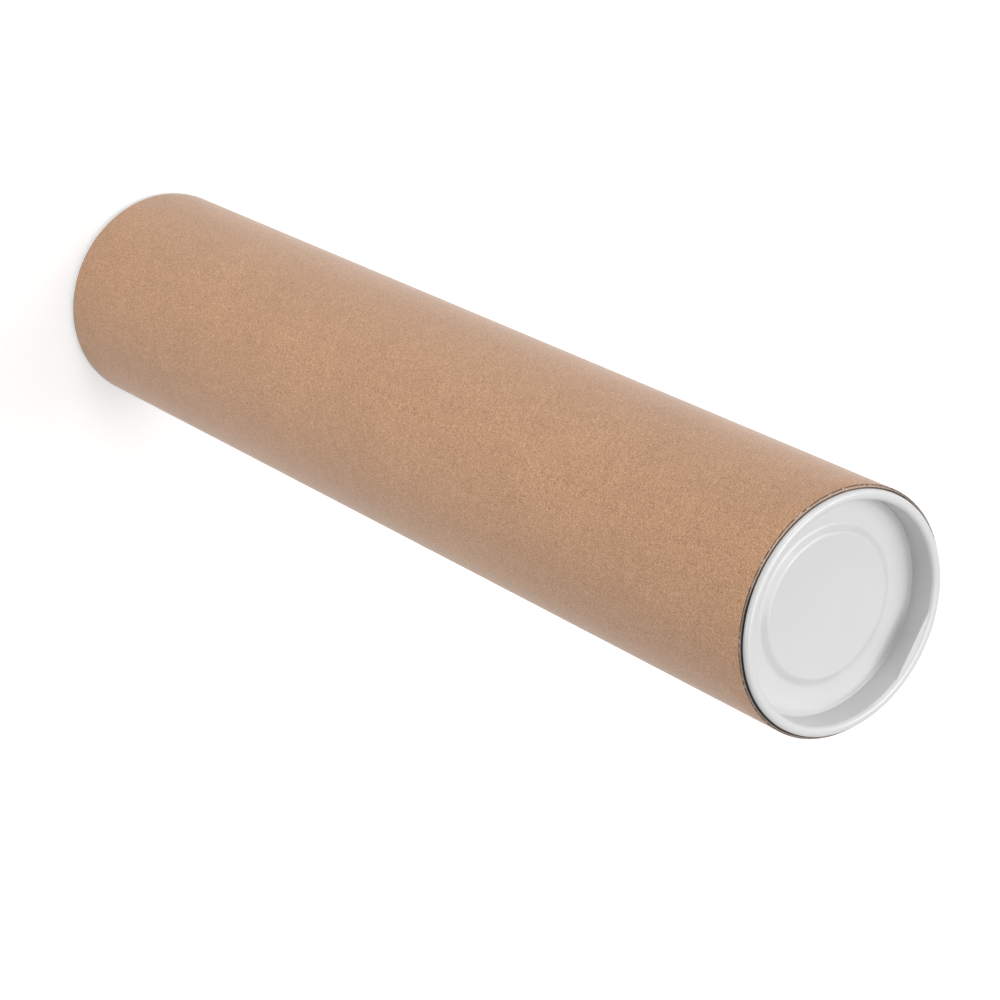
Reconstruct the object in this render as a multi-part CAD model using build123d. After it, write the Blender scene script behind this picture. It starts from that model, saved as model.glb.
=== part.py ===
from build123d import *
from math import radians, tan
import os

# A kraft paperboard mailing tube, standing on end, closed by a white push-in plug at each end.
# Millimetres, +Z along the tube's axis, origin at the centre of the lower plug's resting face.

# Paperboard tube
TUBE_LENGTH = 400.0
BORE_DIAMETER = 76.0
TUBE_WALL = 3.0
CUT_EDGE_BEVEL = 0.25

# Plug flange, the rim that lies on the tube's cut end
FLANGE_SETBACK = 1.2
FLANGE_THICKNESS = 2.2
FLANGE_BEVEL = 0.4
RIM_BEVEL = 1.0

# Plug cup, the part inside the bore
BORE_CLEARANCE = 0.2
CUP_WALL = 1.4
CUP_DRAFT_DEGREES = 1.0
CUP_DEPTH = 7.7
CUP_FOOT_BEVEL = 0.6
FLOOR_THICKNESS = 1.2
LEAD_IN_BEVEL = 1.5

# Raised panel in the middle of the plug's floor
PANEL_MARGIN = 10.0
PANEL_SLOPE_WIDTH = 2.5
PANEL_HEIGHT = 1.4

# Straight-edged pull tab under the plug's rim
TAB_DROP = 0.7
TAB_REACH = 1.8
TAB_THICKNESS = 1.0
TAB_EDGE_ROUND = 0.3

# Sizes that follow from those above
bore_radius = BORE_DIAMETER / 2
tube_radius = bore_radius + TUBE_WALL
flange_radius = tube_radius - FLANGE_SETBACK
skirt_radius = bore_radius - BORE_CLEARANCE
recess_radius = skirt_radius - CUP_WALL
draft = tan(radians(CUP_DRAFT_DEGREES))


def make_tube():
    """The tube, a plain ring of board with its outer cut edges slightly broken."""
    with BuildPart() as tube:
        Cylinder(tube_radius, TUBE_LENGTH, align=(Align.CENTER, Align.CENTER, Align.MIN))
        Cylinder(
            bore_radius,
            TUBE_LENGTH,
            align=(Align.CENTER, Align.CENTER, Align.MIN),
            mode=Mode.SUBTRACT,
        )
        outer_edges = tube.edges().filter_by(GeomType.CIRCLE).group_by(SortBy.RADIUS)[-1]
        chamfer(outer_edges, CUT_EDGE_BEVEL)
    return tube.part


def drafted(radius, depth):
    """Radius of a drafted wall at a depth below the flange's seat."""
    return radius - depth * draft


def plug_section():
    """Half section of the plug in the XZ plane, with Z = 0 at the flange's seat on the tube."""
    floor_top = -CUP_DEPTH
    floor_under = floor_top - FLOOR_THICKNESS
    panel_top = floor_top + PANEL_HEIGHT
    panel_under = floor_under + PANEL_HEIGHT
    wall_foot = drafted(recess_radius, CUP_DEPTH)
    skirt_foot = drafted(skirt_radius, CUP_DEPTH + FLOOR_THICKNESS)
    slope_foot = wall_foot - PANEL_MARGIN
    panel_radius = slope_foot - PANEL_SLOPE_WIDTH
    rim_inner = drafted(recess_radius, -FLANGE_THICKNESS)
    flange_bevel = min(FLANGE_BEVEL, 0.45 * FLANGE_THICKNESS)

    corners = {
        "panel_centre": (0, panel_top),
        "panel_edge": (panel_radius, panel_top),
        "slope_foot": (slope_foot, floor_top),
        "wall_foot": (wall_foot, floor_top),
        "rim_inner": (rim_inner, FLANGE_THICKNESS),
        "rim_outer": (flange_radius, FLANGE_THICKNESS),
        "seat_outer": (flange_radius, 0),
        "seat_inner": (skirt_radius, 0),
        "skirt_foot": (skirt_foot, floor_under),
        "slope_foot_under": (slope_foot, floor_under),
        "panel_edge_under": (panel_radius, panel_under),
        "panel_centre_under": (0, panel_under),
    }
    bevels = {
        "wall_foot": CUP_FOOT_BEVEL,
        "rim_inner": RIM_BEVEL,
        "rim_outer": flange_bevel,
        "seat_outer": flange_bevel,
        "skirt_foot": LEAD_IN_BEVEL,
    }
    with BuildSketch(Plane.XZ) as section:
        with BuildLine():
            Polyline(*corners.values(), close=True)
        make_face()
        for name, length in bevels.items():
            corner = section.vertices().sort_by_distance((*corners[name], 0))[0]
            chamfer(corner, length)
    return section.sketch


def make_tab():
    """Pull tab on the +Y side, a flat segment with a straight rounded lip, let into the cup's wall."""
    tab_top = FLANGE_THICKNESS - TAB_DROP
    tab_wall = drafted(recess_radius, TAB_THICKNESS - tab_top)
    tab_edge = tab_wall - TAB_REACH
    tab_root = tab_wall + CUP_WALL / 2
    with BuildPart() as tab:
        with BuildSketch(Plane.XY.offset(tab_top - TAB_THICKNESS)):
            Circle(tab_root)
            with Locations((0, tab_edge)):
                Rectangle(2 * tab_root, tab_root, align=(Align.CENTER, Align.MIN), mode=Mode.INTERSECT)
        extrude(amount=TAB_THICKNESS)
        lip = tab.edges().filter_by(Axis.X).sort_by(Axis.Z)[-1]
        fillet(lip, TAB_EDGE_ROUND)
    return tab.part


def make_plug():
    """One plug, a drafted cup with a flange, a raised floor panel and a pull tab."""
    with BuildPart() as plug:
        add(plug_section())
        revolve(axis=Axis.Z)
        add(make_tab())
    return plug.part


tube_seat = FLANGE_THICKNESS
plug = make_plug()
nodes = {
    "kraft_tube": Pos(0, 0, tube_seat) * make_tube(),
    "top_plug": Pos(0, 0, tube_seat + TUBE_LENGTH) * plug,
    "bottom_plug": Pos(0, 0, tube_seat) * Rot(180, 0, 0) * plug,
}

os.makedirs("parts", exist_ok=True)
for name, solid in nodes.items():
    export_step(solid, f"parts/{name}.step")
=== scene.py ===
from math import atan, atan2, cos, pi, radians, sin, tan

import bmesh
import bpy
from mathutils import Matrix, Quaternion, Vector, noise


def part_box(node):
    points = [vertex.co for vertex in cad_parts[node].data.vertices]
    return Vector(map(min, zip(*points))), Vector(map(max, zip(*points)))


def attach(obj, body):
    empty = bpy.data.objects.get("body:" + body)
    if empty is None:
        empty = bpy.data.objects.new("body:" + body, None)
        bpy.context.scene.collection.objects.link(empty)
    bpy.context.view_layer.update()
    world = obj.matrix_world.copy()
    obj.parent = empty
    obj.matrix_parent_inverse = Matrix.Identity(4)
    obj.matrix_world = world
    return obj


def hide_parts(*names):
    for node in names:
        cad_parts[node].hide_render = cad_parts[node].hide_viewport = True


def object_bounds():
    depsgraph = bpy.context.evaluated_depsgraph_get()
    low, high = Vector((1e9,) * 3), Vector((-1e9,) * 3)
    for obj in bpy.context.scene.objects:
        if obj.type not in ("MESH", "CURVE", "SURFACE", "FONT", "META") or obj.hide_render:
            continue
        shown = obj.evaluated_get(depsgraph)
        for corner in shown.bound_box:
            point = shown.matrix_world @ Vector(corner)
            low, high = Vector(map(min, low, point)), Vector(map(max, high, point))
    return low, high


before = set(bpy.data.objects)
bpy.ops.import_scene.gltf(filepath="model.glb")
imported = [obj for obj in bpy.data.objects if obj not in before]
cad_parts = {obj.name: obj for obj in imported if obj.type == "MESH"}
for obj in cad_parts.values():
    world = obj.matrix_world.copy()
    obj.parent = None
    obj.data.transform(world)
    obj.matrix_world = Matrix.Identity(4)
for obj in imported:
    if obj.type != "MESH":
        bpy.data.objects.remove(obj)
cad_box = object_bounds()

MM = 0.001

# Camera, in metres and degrees
CAMERA_POSITION = Vector((0.0, -0.74326, 1.08155))
CAMERA_AIM = Vector((0.01474, -0.00029, 0.23762))
CAMERA_ROLL_DEG = 115.999
CAMERA_LENS_MM = 118.112
CAMERA_SENSOR_MM = 36
CAMERA_FAR_LIMIT = 50

# Light levels: 1 lights a facing surface so that it renders about as its colour is written
AMBIENT_LEVEL = 0.18
FLOOR_GREY = 0.8
FLOOR_LIFT = 0.4
FLOOR_RADIUS = 1.3
FLOOR_SIDES = 96
FLOOR_DROP = 0.3 * MM

# Paperboard tube
TUBE_COLUMNS = 256
TUBE_WALL = 3.0 * MM
TUBE_SHARP_ANGLE = radians(40)
MERGE_GRID = 0.001 * MM

# Cut ends of the tube: grooves between the plies, the broken edge, and a wandering unevenness
PLY_COUNT = 7
PLY_GROOVE = 0.05 * MM
PLY_GROOVE_DEPTH = 0.12 * MM
PLY_UNEVENNESS = 0.06 * MM
CUT_EDGE_ROUND = 0.25 * MM
CUT_EDGE_STEPS = 3
CUT_EDGE_FRAY = 0.05 * MM
UNEVEN_AROUND = 14
UNEVEN_BETWEEN_RINGS = 0.7
UNEVEN_BETWEEN_ENDS = 5
FRAY_FINENESS = 2.3

# Spiral joint of the tube's outer ply: height gained in a turn, one point on it, and its shallow groove
SEAM_PITCH = 113.5 * MM
SEAM_POINT_HEIGHT = 176.2 * MM
SEAM_POINT_ANGLE = radians(285)
SEAM_DEPTH = 0.05 * MM
SEAM_PROFILE = ((0.0, 1.0), (0.15 * MM, 0.55), (0.35 * MM, 0.12), (0.6 * MM, 0.0))
STRIP_ROWS = 8

# Plug, as heights above and depths below the flange's seat on the tube
PLUG_COLUMNS = 256
FLANGE_THICKNESS = 2.2 * MM
SKIRT_RADIUS = 37.8 * MM
CUP_WALL = 1.4 * MM
CUP_DRAFT = tan(radians(1))
CUP_DEPTH = 7.7 * MM
FLOOR_THICKNESS = 1.2 * MM
PANEL_FOOT_RADIUS = 26.27 * MM
PANEL_RADIUS = 23.77 * MM
PANEL_HEIGHT = 1.4 * MM
FLANGE_ROUND = 1.3 * MM
FLANGE_GAP = 0.25 * MM
FLANGE_LOWER_ROUND = 0.2 * MM
SEAT_WIDTH = 0.7 * MM
RIM_ROUND = 1.6 * MM
CUP_FOOT_ROUND = 0.6 * MM
SKIRT_FOOT_ROUND = 1.8 * MM
PANEL_ROUND = 2.6 * MM
ARC_STEP = radians(11)
ARC_STEPS_AT_LEAST = 4

# Pull tab of the plug
TAB_DROP = 0.7 * MM
TAB_REACH = 1.8 * MM
TAB_THICKNESS = 1.0 * MM
TAB_STEPS = 40
TAB_ROUND = 0.3 * MM
TAB_ROUND_STEPS = 5

# Colours, as light reflected in red, green and blue
KRAFT_PALE = (0.655, 0.402, 0.245)
KRAFT_DARK = (0.300, 0.136, 0.055)
FLECK_COLOR = (0.24, 0.125, 0.07)
# Painted light: the cut board's colour on its painted lit side and on its painted shaded side
CUT_BOARD_PAINTED_LIT = (0.50, 0.36, 0.27)
CUT_BOARD_PAINTED_SHADED = (0.30, 0.24, 0.20)
# Painted shadow: the near-black band that stands for the shade under the plug's flange, lighter on the
# painted lit side
GAP_SHADOW_PAINTED_LIT = (0.15, 0.105, 0.08)
GAP_SHADOW_PAINTED_DARK = (0.012, 0.01, 0.009)
CUT_EDGE_DARK = (0.06, 0.035, 0.027)
BORE_COLOR = (0.44, 0.29, 0.19)
PLASTIC_COLOR = (0.62, 0.62, 0.622)

# Noise values between which a tone goes from its darkest to its palest
NOISE_LIMITS = (0.3, 0.7)
WIDE_NOISE_LIMITS = (0.25, 0.75)

# Kraft paper: scales are repeats in a metre, spreads are shares of the tone either way
GRAIN_SCALE = 2400
GRAIN_LIMITS = (0.26, 0.74)
FIBRE_SCALE = 1700
FIBRE_STRETCH = 0.12
FIBRE_SPREAD = 0.06
FIBRE_HEIGHT = 0.6
CLOUD_SCALE = 22
CLOUD_SPREAD = 0.03
MOTTLE_SCALE = 190
MOTTLE_SPREAD = 0.025
FLECK_SIZE = 0.26
DARK_FLECK_SCALE = 640
DARK_FLECK_SHARE = 0.05
DARK_FLECK_STRENGTH = 0.9
PALE_FLECK_SCALE = 560
PALE_FLECK_SHARE = 0.06
PALE_FLECK_LIFT = 0.32
SEAM_PALE_WIDTH = 0.9 * MM
SEAM_PALE_TONE = 1.06

# Cut board: a painted shadow band, the shade in the gap under the plug's flange, between two depths below
# the outside; and painted light, one side of the cut ends painted paler
GAP_SHADOW_INNER_DEPTH = 1.9 * MM
GAP_SHADOW_OUTER_DEPTH = 0.55 * MM
GAP_SHADOW_FADE = 0.2 * MM
GAP_SHADOW_LIT_SHIFT = 0.35 * MM
# Painted light: the direction of the side of the cut ends that is painted paler as if lit, and the span
# over which it fades
CUT_PAINTED_LIGHT_ANGLE = radians(232)
CUT_PAINTED_LIGHT_LIMITS = (0.55, 0.9)
PLY_WANDER = 0.25 * MM
PLY_WANDER_SCALE = 500
GLUE_LIMITS = (0.30, 0.48)
GLUE_TONE = 0.62
FUZZ_SCALE = 2600
FUZZ_SPREAD = 0.25
EDGE_LINE_INNER_DEPTH = 0.42 * MM
EDGE_LINE_OUTER_DEPTH = 0.16 * MM
EDGE_BREAK_SCALE = 900
EDGE_BREAK_LIMITS = (0.34, 0.55)

# Bore liner
LINER_GRAIN_SCALE = 1300
LINER_GRAIN_SPREAD = 0.12
LINER_CLOUD_SCALE = 60
LINER_CLOUD_SPREAD = 0.05

# White plastic
PLASTIC_TONE_SCALE = 90
PLASTIC_TONE_SPREAD = 0.006
PLASTIC_GLOSS_SCALE = 120
PLASTIC_ROUGHNESS = (0.24, 0.268)
PLASTIC_BUMP_SCALE = 160


class Nodes:
    """A material's or world's node tree, with short calls to add nodes and link them."""

    def __init__(self, owner):
        owner.use_nodes = True
        self.tree = owner.node_tree
        self.tree.nodes.clear()

    def add(self, kind, **settings):
        node = self.tree.nodes.new("ShaderNode" + kind)
        for name, value in settings.items():
            setattr(node, name, value)
        return node

    def link(self, source, target):
        self.tree.links.new(source, target)

    def put(self, value, socket):
        """Links an output to a socket, or sets the socket to a plain value."""
        if isinstance(value, bpy.types.NodeSocket):
            self.link(value, socket)
        else:
            socket.default_value = value

    def math(self, operation, a, b=0.0):
        node = self.add("Math", operation=operation)
        self.put(a, node.inputs[0])
        self.put(b, node.inputs[1])
        return node.outputs[0]

    def span(self, value, low, high, to_low=0.0, to_high=1.0):
        """Maps low..high to to_low..to_high along a smooth curve, held at the ends."""
        node = self.add("MapRange", interpolation_type="SMOOTHSTEP")
        self.put(value, node.inputs["Value"])
        node.inputs["From Min"].default_value = low
        node.inputs["From Max"].default_value = high
        node.inputs["To Min"].default_value = to_low
        node.inputs["To Max"].default_value = to_high
        return node.outputs[0]

    def noise(self, vector, scale, detail=2.0, roughness=0.5):
        node = self.add("TexNoise")
        self.put(vector, node.inputs["Vector"])
        node.inputs["Scale"].default_value = scale
        node.inputs["Detail"].default_value = detail
        node.inputs["Roughness"].default_value = roughness
        return node.outputs["Fac"]

    def tone(self, texture, spread, limits=NOISE_LIMITS):
        """A tone about 1 that follows a noise, a spread either way at the noise's limits."""
        return self.span(texture, *limits, 1 - spread, 1 + spread)

    def flecks(self, vector, scale, share):
        """1 on scattered spots: the texture has cells, and a share of them hold a spot each."""
        node = self.add("TexVoronoi")
        self.put(vector, node.inputs["Vector"])
        node.inputs["Scale"].default_value = scale
        pick = self.add("SeparateColor")
        self.link(node.outputs["Color"], pick.inputs[0])
        chosen = self.math("LESS_THAN", pick.outputs["Red"], share)
        spot = self.span(node.outputs["Distance"], 0.5 * FLECK_SIZE, FLECK_SIZE, 1.0, 0.0)
        return self.math("MULTIPLY", chosen, spot)

    def mix_color(self, factor, a, b):
        node = self.add("Mix", data_type="RGBA")
        self.put(factor, node.inputs[0])
        for value, socket in ((a, node.inputs[6]), (b, node.inputs[7])):
            self.put(value if isinstance(value, bpy.types.NodeSocket) else (*value, 1), socket)
        return node.outputs[2]

    def tint(self, color, tone):
        """A colour made lighter or darker by a tone that varies over the surface."""
        node = self.add("VectorMath", operation="SCALE")
        self.put(color, node.inputs[0])
        self.put(tone, node.inputs["Scale"])
        return node.outputs[0]

    def bump(self, height, strength, distance):
        node = self.add("Bump")
        node.inputs["Strength"].default_value = strength
        node.inputs["Distance"].default_value = distance
        self.put(height, node.inputs["Height"])
        return node.outputs[0]

    def surface(self, shader):
        out = self.add("OutputMaterial")
        self.link(shader, out.inputs[0])

    def principled(self, color, roughness, normal):
        """The material's surface, from its colour, roughness and bumped normal."""
        shader = self.add("BsdfPrincipled")
        self.link(color, shader.inputs["Base Color"])
        self.put(roughness, shader.inputs["Roughness"])
        self.link(normal, shader.inputs["Normal"])
        self.surface(shader.outputs[0])
        return shader

    def seen_ray(self):
        """1 for camera, glossy and transmission rays, 0 for the rays that carry light."""
        path = self.add("LightPath")
        seen = self.math("MAXIMUM", path.outputs["Is Camera Ray"], path.outputs["Is Glossy Ray"])
        return self.math("MAXIMUM", seen, path.outputs["Is Transmission Ray"])


def kraft_material():
    """Outside of the tube: brown paper with grain, fibres along the strip, flecks and the strip's joint."""
    material = bpy.data.materials.new("kraft_outside")
    n = Nodes(material)
    place = n.add("TexCoord").outputs["Object"]
    strip = n.add("UVMap", uv_map="strip").outputs[0]
    stretch = n.add("Mapping")
    n.link(strip, stretch.inputs["Vector"])
    stretch.inputs["Scale"].default_value = (FIBRE_STRETCH, 1, 1)

    grain = n.noise(place, GRAIN_SCALE, detail=3, roughness=0.65)
    fibres = n.noise(stretch.outputs[0], FIBRE_SCALE, detail=2, roughness=0.6)
    color = n.mix_color(n.span(grain, *GRAIN_LIMITS), KRAFT_DARK, KRAFT_PALE)
    dark = n.math("MULTIPLY", n.flecks(place, DARK_FLECK_SCALE, DARK_FLECK_SHARE), DARK_FLECK_STRENGTH)
    color = n.mix_color(dark, color, FLECK_COLOR)

    tone = n.tone(n.noise(place, CLOUD_SCALE, detail=3), CLOUD_SPREAD)
    tone = n.math("MULTIPLY", tone, n.tone(n.noise(place, MOTTLE_SCALE, detail=3), MOTTLE_SPREAD))
    tone = n.math("MULTIPLY", tone, n.tone(fibres, FIBRE_SPREAD, WIDE_NOISE_LIMITS))
    pale = n.math("MULTIPLY", n.flecks(place, PALE_FLECK_SCALE, PALE_FLECK_SHARE), PALE_FLECK_LIFT)
    tone = n.math("ADD", tone, pale)
    across = n.add("SeparateXYZ")
    n.link(strip, across.inputs[0])
    joint = n.span(across.outputs["Y"], 0.0, SEAM_PALE_WIDTH, SEAM_PALE_TONE, 1.0)
    tone = n.math("MULTIPLY", tone, joint)

    height = n.math("ADD", grain, n.math("MULTIPLY", fibres, FIBRE_HEIGHT))
    normal = n.bump(height, strength=0.25, distance=0.15 * MM)
    shader = n.principled(n.tint(color, tone), 0.5, normal)
    shader.inputs["Specular IOR Level"].default_value = 0.3
    shader.inputs["Sheen Weight"].default_value = 0.3
    shader.inputs["Sheen Roughness"].default_value = 0.4
    return material


def cut_board_material(inner_radius, outer_radius):
    """Cut ends of the tube: plies, painted light that makes one side paler, a painted shadow band where the
    plug's flange shades the end, and a broken dark line along the outer edge.
    """
    material = bpy.data.materials.new("cut_board")
    n = Nodes(material)
    place = n.add("TexCoord").outputs["Object"]
    xyz = n.add("SeparateXYZ")
    n.link(place, xyz.inputs[0])
    square = n.math("ADD", n.math("POWER", xyz.outputs["X"], 2), n.math("POWER", xyz.outputs["Y"], 2))
    wander = n.math("SUBTRACT", n.noise(place, PLY_WANDER_SCALE), 0.5)
    radius = n.math("ADD", n.math("SQRT", square), n.math("MULTIPLY", wander, PLY_WANDER))

    # Painted light: how far each point lies towards the side of the cut end that is painted paler as if lit
    toward_lit_side = n.add("VectorMath", operation="DOT_PRODUCT")
    n.link(place, toward_lit_side.inputs[0])
    toward_lit_side.inputs[1].default_value = (cos(CUT_PAINTED_LIGHT_ANGLE), sin(CUT_PAINTED_LIGHT_ANGLE), 0)
    pale_low, pale_high = CUT_PAINTED_LIGHT_LIMITS
    pale = n.span(toward_lit_side.outputs["Value"], pale_low * outer_radius, pale_high * outer_radius)

    ply = (outer_radius - inner_radius) / PLY_COUNT
    across = n.math("FRACT", n.math("DIVIDE", n.math("SUBTRACT", radius, inner_radius), ply))
    from_middle = n.math("ABSOLUTE", n.math("SUBTRACT", across, 0.5))
    glue = n.span(from_middle, *GLUE_LIMITS, 1.0, GLUE_TONE)
    fuzz = n.tone(n.noise(place, FUZZ_SCALE, roughness=0.6), FUZZ_SPREAD, WIDE_NOISE_LIMITS)
    # Painted light: the board goes from its painted shaded tone to its painted lit tone
    board = n.mix_color(pale, CUT_BOARD_PAINTED_SHADED, CUT_BOARD_PAINTED_LIT)
    board = n.tint(board, n.math("MULTIPLY", glue, fuzz))

    # Painted shadow: a near-black band across the cut end where the plug's flange shades it, narrower and
    # lighter on the painted lit side
    gap_shadow_inner = outer_radius - GAP_SHADOW_INNER_DEPTH
    gap_shadow_outer = outer_radius - GAP_SHADOW_OUTER_DEPTH
    past_inner = n.span(radius, gap_shadow_inner, gap_shadow_inner + GAP_SHADOW_FADE)
    shifted = n.math("ADD", radius, n.math("MULTIPLY", pale, GAP_SHADOW_LIT_SHIFT))
    past_outer = n.span(shifted, gap_shadow_outer - GAP_SHADOW_FADE, gap_shadow_outer)
    painted_gap_shadow = n.math("SUBTRACT", past_inner, past_outer)
    color = n.mix_color(painted_gap_shadow, board, n.mix_color(pale, GAP_SHADOW_PAINTED_DARK, GAP_SHADOW_PAINTED_LIT))

    edge = n.span(radius, outer_radius - EDGE_LINE_INNER_DEPTH, outer_radius - EDGE_LINE_OUTER_DEPTH)
    broken = n.span(n.noise(place, EDGE_BREAK_SCALE), *EDGE_BREAK_LIMITS)
    color = n.mix_color(n.math("MULTIPLY", edge, broken), color, CUT_EDGE_DARK)

    normal = n.bump(n.noise(place, scale=2200), strength=0.5, distance=0.2 * MM)
    n.principled(color, 0.8, normal)
    return material


def bore_material():
    """Inside of the tube: a plain liner ply of the same paper, duller than the outside."""
    material = bpy.data.materials.new("bore_liner")
    n = Nodes(material)
    place = n.add("TexCoord").outputs["Object"]
    grain = n.noise(place, LINER_GRAIN_SCALE, detail=3, roughness=0.6)
    tone = n.tone(grain, LINER_GRAIN_SPREAD, WIDE_NOISE_LIMITS)
    clouds = n.noise(place, LINER_CLOUD_SCALE, detail=3)
    tone = n.math("MULTIPLY", tone, n.tone(clouds, LINER_CLOUD_SPREAD))
    normal = n.bump(n.noise(place, scale=1500), strength=0.3, distance=0.15 * MM)
    n.principled(n.tint(BORE_COLOR, tone), 0.75, normal)
    return material


def plastic_material():
    """White moulded plastic, satin, with a faint unevenness in tone and gloss."""
    material = bpy.data.materials.new("white_plastic")
    n = Nodes(material)
    place = n.add("TexCoord").outputs["Object"]
    tone = n.tone(n.noise(place, PLASTIC_TONE_SCALE, detail=3), PLASTIC_TONE_SPREAD)
    gloss = n.noise(place, PLASTIC_GLOSS_SCALE, detail=3)
    roughness = n.span(gloss, *NOISE_LIMITS, *PLASTIC_ROUGHNESS)
    normal = n.bump(n.noise(place, PLASTIC_BUMP_SCALE), strength=0.01, distance=0.1 * MM)
    n.principled(n.tint(PLASTIC_COLOR, tone), roughness, normal)
    return material


def new_piece(name, verts, faces, materials):
    """A new object in the scene, from its vertices, faces and materials."""
    mesh = bpy.data.meshes.new(name)
    mesh.from_pydata(verts, [], faces)
    for material in materials:
        mesh.materials.append(material)
    piece = bpy.data.objects.new(name, mesh)
    bpy.context.scene.collection.objects.link(piece)
    return piece


def add_weighted_normals(piece):
    """Smooth shading in which flat faces stay flat beside their rounded edges."""
    piece.data.shade_smooth()
    modifier = piece.modifiers.new("weighted_normals", "WEIGHTED_NORMAL")
    modifier.mode = "FACE_AREA"
    modifier.weight = 100


class TubeMesh:
    """Collects the tube's vertices by column, and its faces with their material and place on the strip."""

    def __init__(self):
        self.verts = []
        self.faces = []
        self.slots = []
        self.strip = []

    def vertex(self, column, radius, height):
        angle = 2 * pi * column / TUBE_COLUMNS
        self.verts.append((radius * cos(angle), radius * sin(angle), height))
        return len(self.verts) - 1

    def face(self, corners, slot, strip=None):
        """Adds a face without its repeated corners, or nothing if fewer than three are left."""
        kept = [c for i, c in enumerate(corners) if c != corners[i - 1]]
        if len(kept) < 3:
            return
        self.faces.append(kept)
        self.slots.append(slot)
        place = dict(zip(corners, strip or [(0, 0)] * len(corners)))
        self.strip.extend(place[c] for c in kept)


def seam_height(column):
    """Height of the outer ply's joint at a column; columns go on counting turn after turn."""
    angle = 2 * pi * column / TUBE_COLUMNS
    return SEAM_POINT_HEIGHT + SEAM_PITCH * (angle - SEAM_POINT_ANGLE) / (2 * pi)


def strip_rows():
    """Rows across one turn of the outer ply, as (height above the joint, share of the groove's depth)."""
    near = list(SEAM_PROFILE)
    margin = near[-1][0]
    middle = [
        (margin + (SEAM_PITCH - 2 * margin) * k / STRIP_ROWS, 0.0)
        for k in range(1, STRIP_ROWS)
    ]
    far = [(SEAM_PITCH - offset, depth) for offset, depth in reversed(near[1:])]
    return near + middle + far


def add_outer_ply(tube, radius, low, high):
    """The outside, one long strip wound up the tube; returns its vertices along the two ends."""
    rows = strip_rows()
    slope = SEAM_PITCH / (2 * pi * radius)
    tilt = atan(slope)
    found = {}

    def corner(column, row):
        """Vertex of a row at a column, shared with the next turn of the strip and held between the ends."""
        if row == len(rows):
            column, row = column + TUBE_COLUMNS, 0
        offset, depth = rows[row]
        height = seam_height(column) + offset
        inside = low < height < high
        height = min(max(height, low), high)
        key = (column % TUBE_COLUMNS, round(height / MERGE_GRID))
        if key not in found:
            found[key] = tube.vertex(column, radius - (SEAM_DEPTH * depth if inside else 0), height)
        return found[key]

    def place(column, row):
        """Distance along the strip, and across it from the nearer of its two edges."""
        offset = SEAM_PITCH if row == len(rows) else rows[row][0]
        height = min(max(seam_height(column) + offset, low), high)
        arc = 2 * pi * radius * column / TUBE_COLUMNS
        offset = height - seam_height(column)
        along = arc * cos(tilt) + height * sin(tilt)
        return along, min(offset, SEAM_PITCH - offset) * cos(tilt)

    first = int((low - SEAM_POINT_HEIGHT) / SEAM_PITCH * TUBE_COLUMNS) - 2 * TUBE_COLUMNS
    last = int((high - SEAM_POINT_HEIGHT) / SEAM_PITCH * TUBE_COLUMNS) + 2 * TUBE_COLUMNS
    for column in range(first, last):
        for row in range(len(rows)):
            cell = ((column, row), (column + 1, row), (column + 1, row + 1), (column, row + 1))
            tube.face([corner(*c) for c in cell], 0, [place(*c) for c in cell])
    ends = []
    for height in (low, high):
        ends.append([found[column, round(height / MERGE_GRID)] for column in range(TUBE_COLUMNS)])
    return ends


def end_rings(inner_radius, outer_radius):
    """Rings over a cut end from the outside in, as (radius, depth below the end)."""
    rings = []
    for step in range(1, CUT_EDGE_STEPS + 1):
        turn = step * pi / (2 * CUT_EDGE_STEPS)
        radius = outer_radius - CUT_EDGE_ROUND * (1 - cos(turn))
        rings.append((radius, CUT_EDGE_ROUND * (1 - sin(turn))))
    ply = (outer_radius - inner_radius) / PLY_COUNT
    for k in range(1, PLY_COUNT):
        joint = outer_radius - k * ply
        rings.append((joint + PLY_GROOVE, 0))
        rings.append((joint, PLY_GROOVE_DEPTH))
        rings.append((joint - PLY_GROOVE, 0))
    rings.append((inner_radius, 0))
    return rings


def add_end(tube, start, rings, end_height, inward):
    """Rings over one cut end, a little uneven; returns the ring at the bore's edge."""
    widest = rings[0][0]
    ring = start
    for k, (radius, depth) in enumerate(rings):
        following = []
        for column in range(TUBE_COLUMNS):
            angle = 2 * pi * column / TUBE_COLUMNS
            layer = k * UNEVEN_BETWEEN_RINGS + inward * UNEVEN_BETWEEN_ENDS
            spot = Vector((cos(angle) * UNEVEN_AROUND, sin(angle) * UNEVEN_AROUND, layer))
            sink = depth + PLY_UNEVENNESS * abs(noise.noise(spot))
            frayed = 0 < k < len(rings) - 1
            fray = CUT_EDGE_FRAY * noise.noise(spot * FRAY_FINENESS) if frayed else 0
            height = end_height + inward * sink
            following.append(tube.vertex(column, min(radius + fray, widest), height))
        join_rings(tube, ring, following, 1, inward < 0)
        ring = following
    return ring


def join_rings(tube, ring, following, slot, flip):
    """Faces between two rings of vertices, turned the other way round if not flipped."""
    for column in range(TUBE_COLUMNS):
        after = (column + 1) % TUBE_COLUMNS
        corners = [ring[column], ring[after], following[after], following[column]]
        tube.face(corners if flip else corners[::-1], slot)


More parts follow.
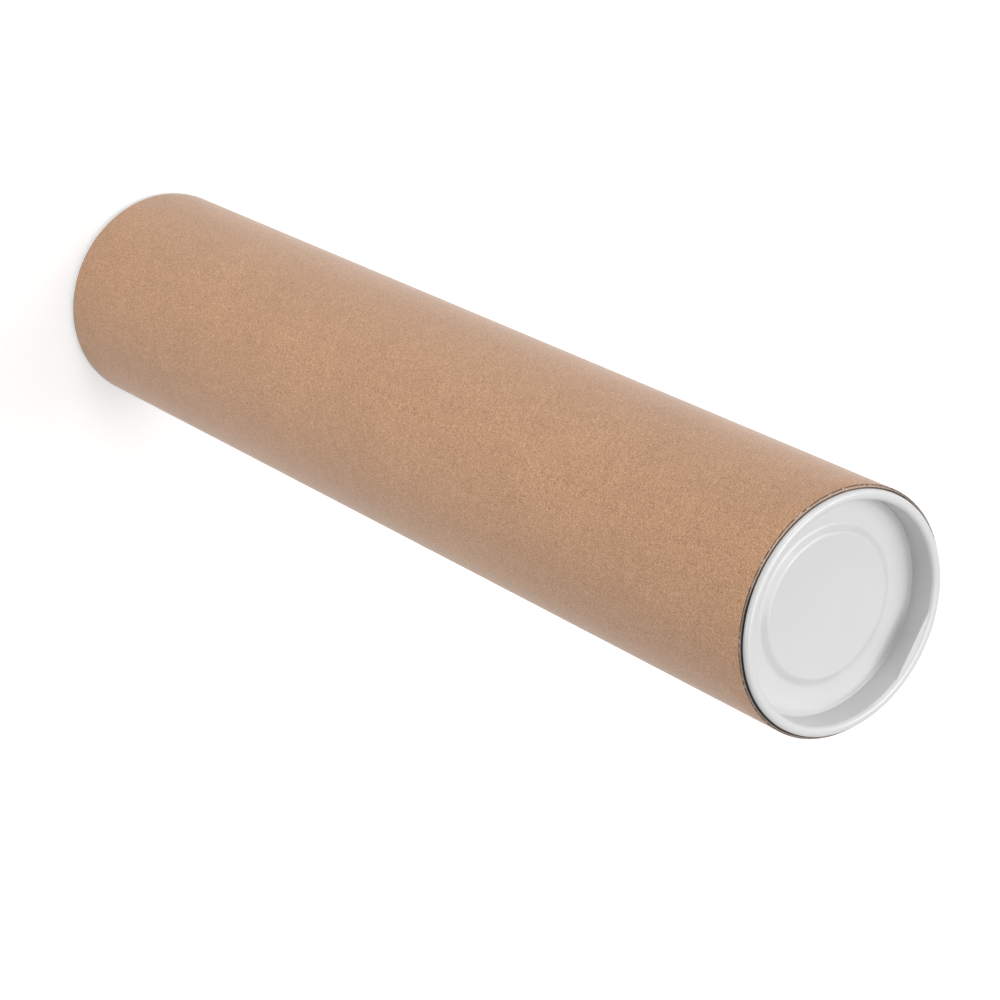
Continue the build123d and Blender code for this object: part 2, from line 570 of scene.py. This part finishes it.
def make_tube():
    """The paperboard tube, which stands for the plain CAD tube."""
    low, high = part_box("kraft_tube")
    outer = high.x
    inner = outer - TUBE_WALL
    tube = TubeMesh()
    bottom, top = add_outer_ply(tube, outer, low.z + CUT_EDGE_ROUND, high.z - CUT_EDGE_ROUND)
    rings = end_rings(inner, outer)
    bore_top = add_end(tube, top, rings, high.z, -1)
    bore_bottom = add_end(tube, bottom, rings, low.z, 1)
    join_rings(tube, bore_top, bore_bottom, 2, True)

    materials = [kraft_material(), cut_board_material(inner, outer), bore_material()]
    piece = new_piece("spiral_wound_tube", tube.verts, tube.faces, materials)
    mesh = piece.data
    mesh.polygons.foreach_set("material_index", tube.slots)
    layer = mesh.uv_layers.new(name="strip")
    layer.data.foreach_set("uv", [value for pair in tube.strip for value in pair])
    mesh.shade_smooth()
    mesh.set_sharp_from_angle(angle=TUBE_SHARP_ANGLE)
    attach(piece, "tube")
    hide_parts("kraft_tube")


def rounded(corners):
    """A polyline through corners (radius, height, round), with an arc of that round at each corner."""
    points = []
    for i, (r, z, size) in enumerate(corners):
        here = Vector((r, z))
        if size == 0:
            points.append(here)
            continue
        back = (Vector(corners[i - 1][:2]) - here).normalized()
        ahead = (Vector(corners[i + 1][:2]) - here).normalized()
        half = back.angle(ahead) / 2
        middle = here + (back + ahead).normalized() * size / sin(half)
        start = here + back * size / tan(half) - middle
        turn = start.angle_signed(here + ahead * size / tan(half) - middle)
        steps = max(ARC_STEPS_AT_LEAST, round(abs(turn) / ARC_STEP))
        for k in range(steps + 1):
            spin = -turn * k / steps
            x = start.x * cos(spin) - start.y * sin(spin)
            y = start.x * sin(spin) + start.y * cos(spin)
            points.append(middle + Vector((x, y)))
    return points


def plug_outline(flange_radius):
    """Half section of the plug from the panel's centre round to its underside, with rounded edges."""
    recess = SKIRT_RADIUS - CUP_WALL
    under = CUP_DEPTH + FLOOR_THICKNESS
    panel = PANEL_HEIGHT - CUP_DEPTH
    return rounded([
        (0, panel, 0),
        (PANEL_RADIUS, panel, PANEL_ROUND),
        (PANEL_FOOT_RADIUS, -CUP_DEPTH, PANEL_ROUND),
        (recess - CUP_DEPTH * CUP_DRAFT, -CUP_DEPTH, CUP_FOOT_ROUND),
        (recess + FLANGE_THICKNESS * CUP_DRAFT, FLANGE_THICKNESS, RIM_ROUND),
        (flange_radius, FLANGE_THICKNESS, FLANGE_ROUND),
        (flange_radius, FLANGE_GAP, FLANGE_LOWER_ROUND),
        (SKIRT_RADIUS + SEAT_WIDTH, FLANGE_GAP, 0),
        (SKIRT_RADIUS + SEAT_WIDTH, 0, 0),
        (SKIRT_RADIUS, 0, 0),
        (SKIRT_RADIUS - under * CUP_DRAFT, -under, SKIRT_FOOT_ROUND),
        (PANEL_FOOT_RADIUS, -under, PANEL_ROUND),
        (PANEL_RADIUS, PANEL_HEIGHT - under, PANEL_ROUND),
        (0, PANEL_HEIGHT - under, 0),
    ])


def lathe(outline):
    """Vertices and faces of a half section turned about Z; its first and last points lie on the axis."""
    verts = [(0, 0, outline[0].y), (0, 0, outline[-1].y)]
    rings = []
    for point in outline[1:-1]:
        ring = []
        for column in range(PLUG_COLUMNS):
            angle = 2 * pi * column / PLUG_COLUMNS
            ring.append(len(verts))
            verts.append((point.x * cos(angle), point.x * sin(angle), point.y))
        rings.append(ring)
    faces = []
    for column in range(PLUG_COLUMNS):
        after = (column + 1) % PLUG_COLUMNS
        faces.append((0, rings[0][column], rings[0][after]))
        faces.append((1, rings[-1][after], rings[-1][column]))
        for ring, following in zip(rings, rings[1:]):
            faces.append((ring[column], following[column], following[after], ring[after]))
    return verts, faces


def add_tab(mesh):
    """The pull tab, a flat segment with a straight lip, let into the cup's wall on the +Y side."""
    top = FLANGE_THICKNESS - TAB_DROP
    wall = SKIRT_RADIUS - CUP_WALL + (top - TAB_THICKNESS) * CUP_DRAFT
    edge = wall - TAB_REACH
    root = wall + CUP_WALL / 2
    reach = atan2((root * root - edge * edge) ** 0.5, edge)
    outline = []
    for k in range(TAB_STEPS + 1):
        angle = pi / 2 - reach + 2 * reach * k / TAB_STEPS
        outline.append((root * cos(angle), max(root * sin(angle), edge)))
    shape = bmesh.new()
    upper = [shape.verts.new((x, y, top)) for x, y in outline]
    lower = [shape.verts.new((x, y, top - TAB_THICKNESS)) for x, y in outline]
    shape.faces.new(upper)
    shape.faces.new(lower[::-1])
    for k in range(len(outline)):
        shape.faces.new((upper[k - 1], lower[k - 1], lower[k], upper[k]))
    lips = [shape.edges.get((ring[0], ring[-1])) for ring in (upper, lower)]
    bmesh.ops.bevel(
        shape,
        geom=lips,
        offset=TAB_ROUND,
        segments=TAB_ROUND_STEPS,
        profile=0.5,
        affect="EDGES",
    )
    bmesh.ops.recalc_face_normals(shape, faces=shape.faces)
    shape.from_mesh(mesh)
    shape.to_mesh(mesh)
    shape.free()


def make_plug(node, material, turned):
    """One plug, which stands for the CAD plug of that node; the lower plug is turned over."""
    low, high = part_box(node)
    seat = low.z + FLANGE_THICKNESS if turned else high.z - FLANGE_THICKNESS
    verts, faces = lathe(plug_outline(high.x))
    piece = new_piece(node + "_moulding", verts, faces, [material])
    add_tab(piece.data)
    if turned:
        piece.rotation_euler.x = pi
    piece.location.z = seat
    add_weighted_normals(piece)
    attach(piece, node)
    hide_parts(node)


def add_camera():
    """The camera, turned about its own axis so that the standing tube lies at a slant in the picture."""
    data = bpy.data.cameras.new("camera")
    data.sensor_width = CAMERA_SENSOR_MM
    data.lens = CAMERA_LENS_MM
    data.clip_end = CAMERA_FAR_LIMIT
    camera = bpy.data.objects.new("camera", data)
    bpy.context.scene.collection.objects.link(camera)
    camera.location = CAMERA_POSITION
    aim = (CAMERA_AIM - CAMERA_POSITION).to_track_quat("-Z", "Y")
    camera.rotation_mode = "QUATERNION"
    camera.rotation_quaternion = aim @ Quaternion((0, 0, 1), radians(CAMERA_ROLL_DEG))
    bpy.context.scene.camera = camera


def add_light(name, direction, distance, size, level):
    """A soft square light that shines on the object from a direction."""
    data = bpy.data.lights.new(name, "AREA")
    data.size = size
    data.energy = level * pi * pi * distance * distance
    light = bpy.data.objects.new(name, data)
    bpy.context.scene.collection.objects.link(light)
    direction = Vector(direction).normalized()
    middle = Vector((0, 0, cad_box[1][2] / 2))
    light.location = middle + direction * distance
    light.rotation_mode = "QUATERNION"
    light.rotation_quaternion = (-direction).to_track_quat("-Z", "Y")
    light.visible_camera = False


def add_world():
    """A world that is white where it is seen and gives a low even light."""
    world = bpy.data.worlds.new("studio")
    bpy.context.scene.world = world
    n = Nodes(world)
    background = n.add("Background")
    background.inputs["Color"].default_value = (1, 1, 1, 1)
    n.link(n.span(n.seen_ray(), 0, 1, AMBIENT_LEVEL, 1), background.inputs["Strength"])
    out = n.add("OutputWorld")
    n.link(background.outputs[0], out.inputs[0])


def add_floor():
    """A round white floor, no larger than the lights keep white, with the white world beyond it."""
    turns = [2 * pi * k / FLOOR_SIDES for k in range(FLOOR_SIDES)]
    rim = [(FLOOR_RADIUS * cos(turn), FLOOR_RADIUS * sin(turn), -FLOOR_DROP) for turn in turns]
    material = bpy.data.materials.new("floor")
    n = Nodes(material)
    diffuse = n.add("BsdfDiffuse")
    diffuse.inputs["Color"].default_value = (FLOOR_GREY, FLOOR_GREY, FLOOR_GREY, 1)
    lift = n.add("Emission")
    n.link(n.math("MULTIPLY", n.seen_ray(), FLOOR_LIFT), lift.inputs["Strength"])
    both = n.add("AddShader")
    n.link(diffuse.outputs[0], both.inputs[0])
    n.link(lift.outputs[0], both.inputs[1])
    n.surface(both.outputs[0])
    new_piece("floor", rim, [range(FLOOR_SIDES)], [material])


make_tube()
plastic = plastic_material()
make_plug("top_plug", plastic, turned=False)
make_plug("bottom_plug", plastic, turned=True)

add_camera()
add_world()
add_floor()
add_light("from_above", direction=(0.0, 0.0, 1.0), distance=2.0, size=1.4, level=0.54)
add_light("over_the_plug", direction=(-0.3, 0.25, 0.92), distance=2.0, size=1.0, level=0.36)
add_light("from_the_left", direction=(-0.66, -0.66, 0.2), distance=2.0, size=1.0, level=0.47)
add_light("low_on_the_right", direction=(0.64, -0.76, 0.1), distance=1.5, size=0.6, level=0.30)

bpy.context.scene.view_settings.view_transform = "Standard"
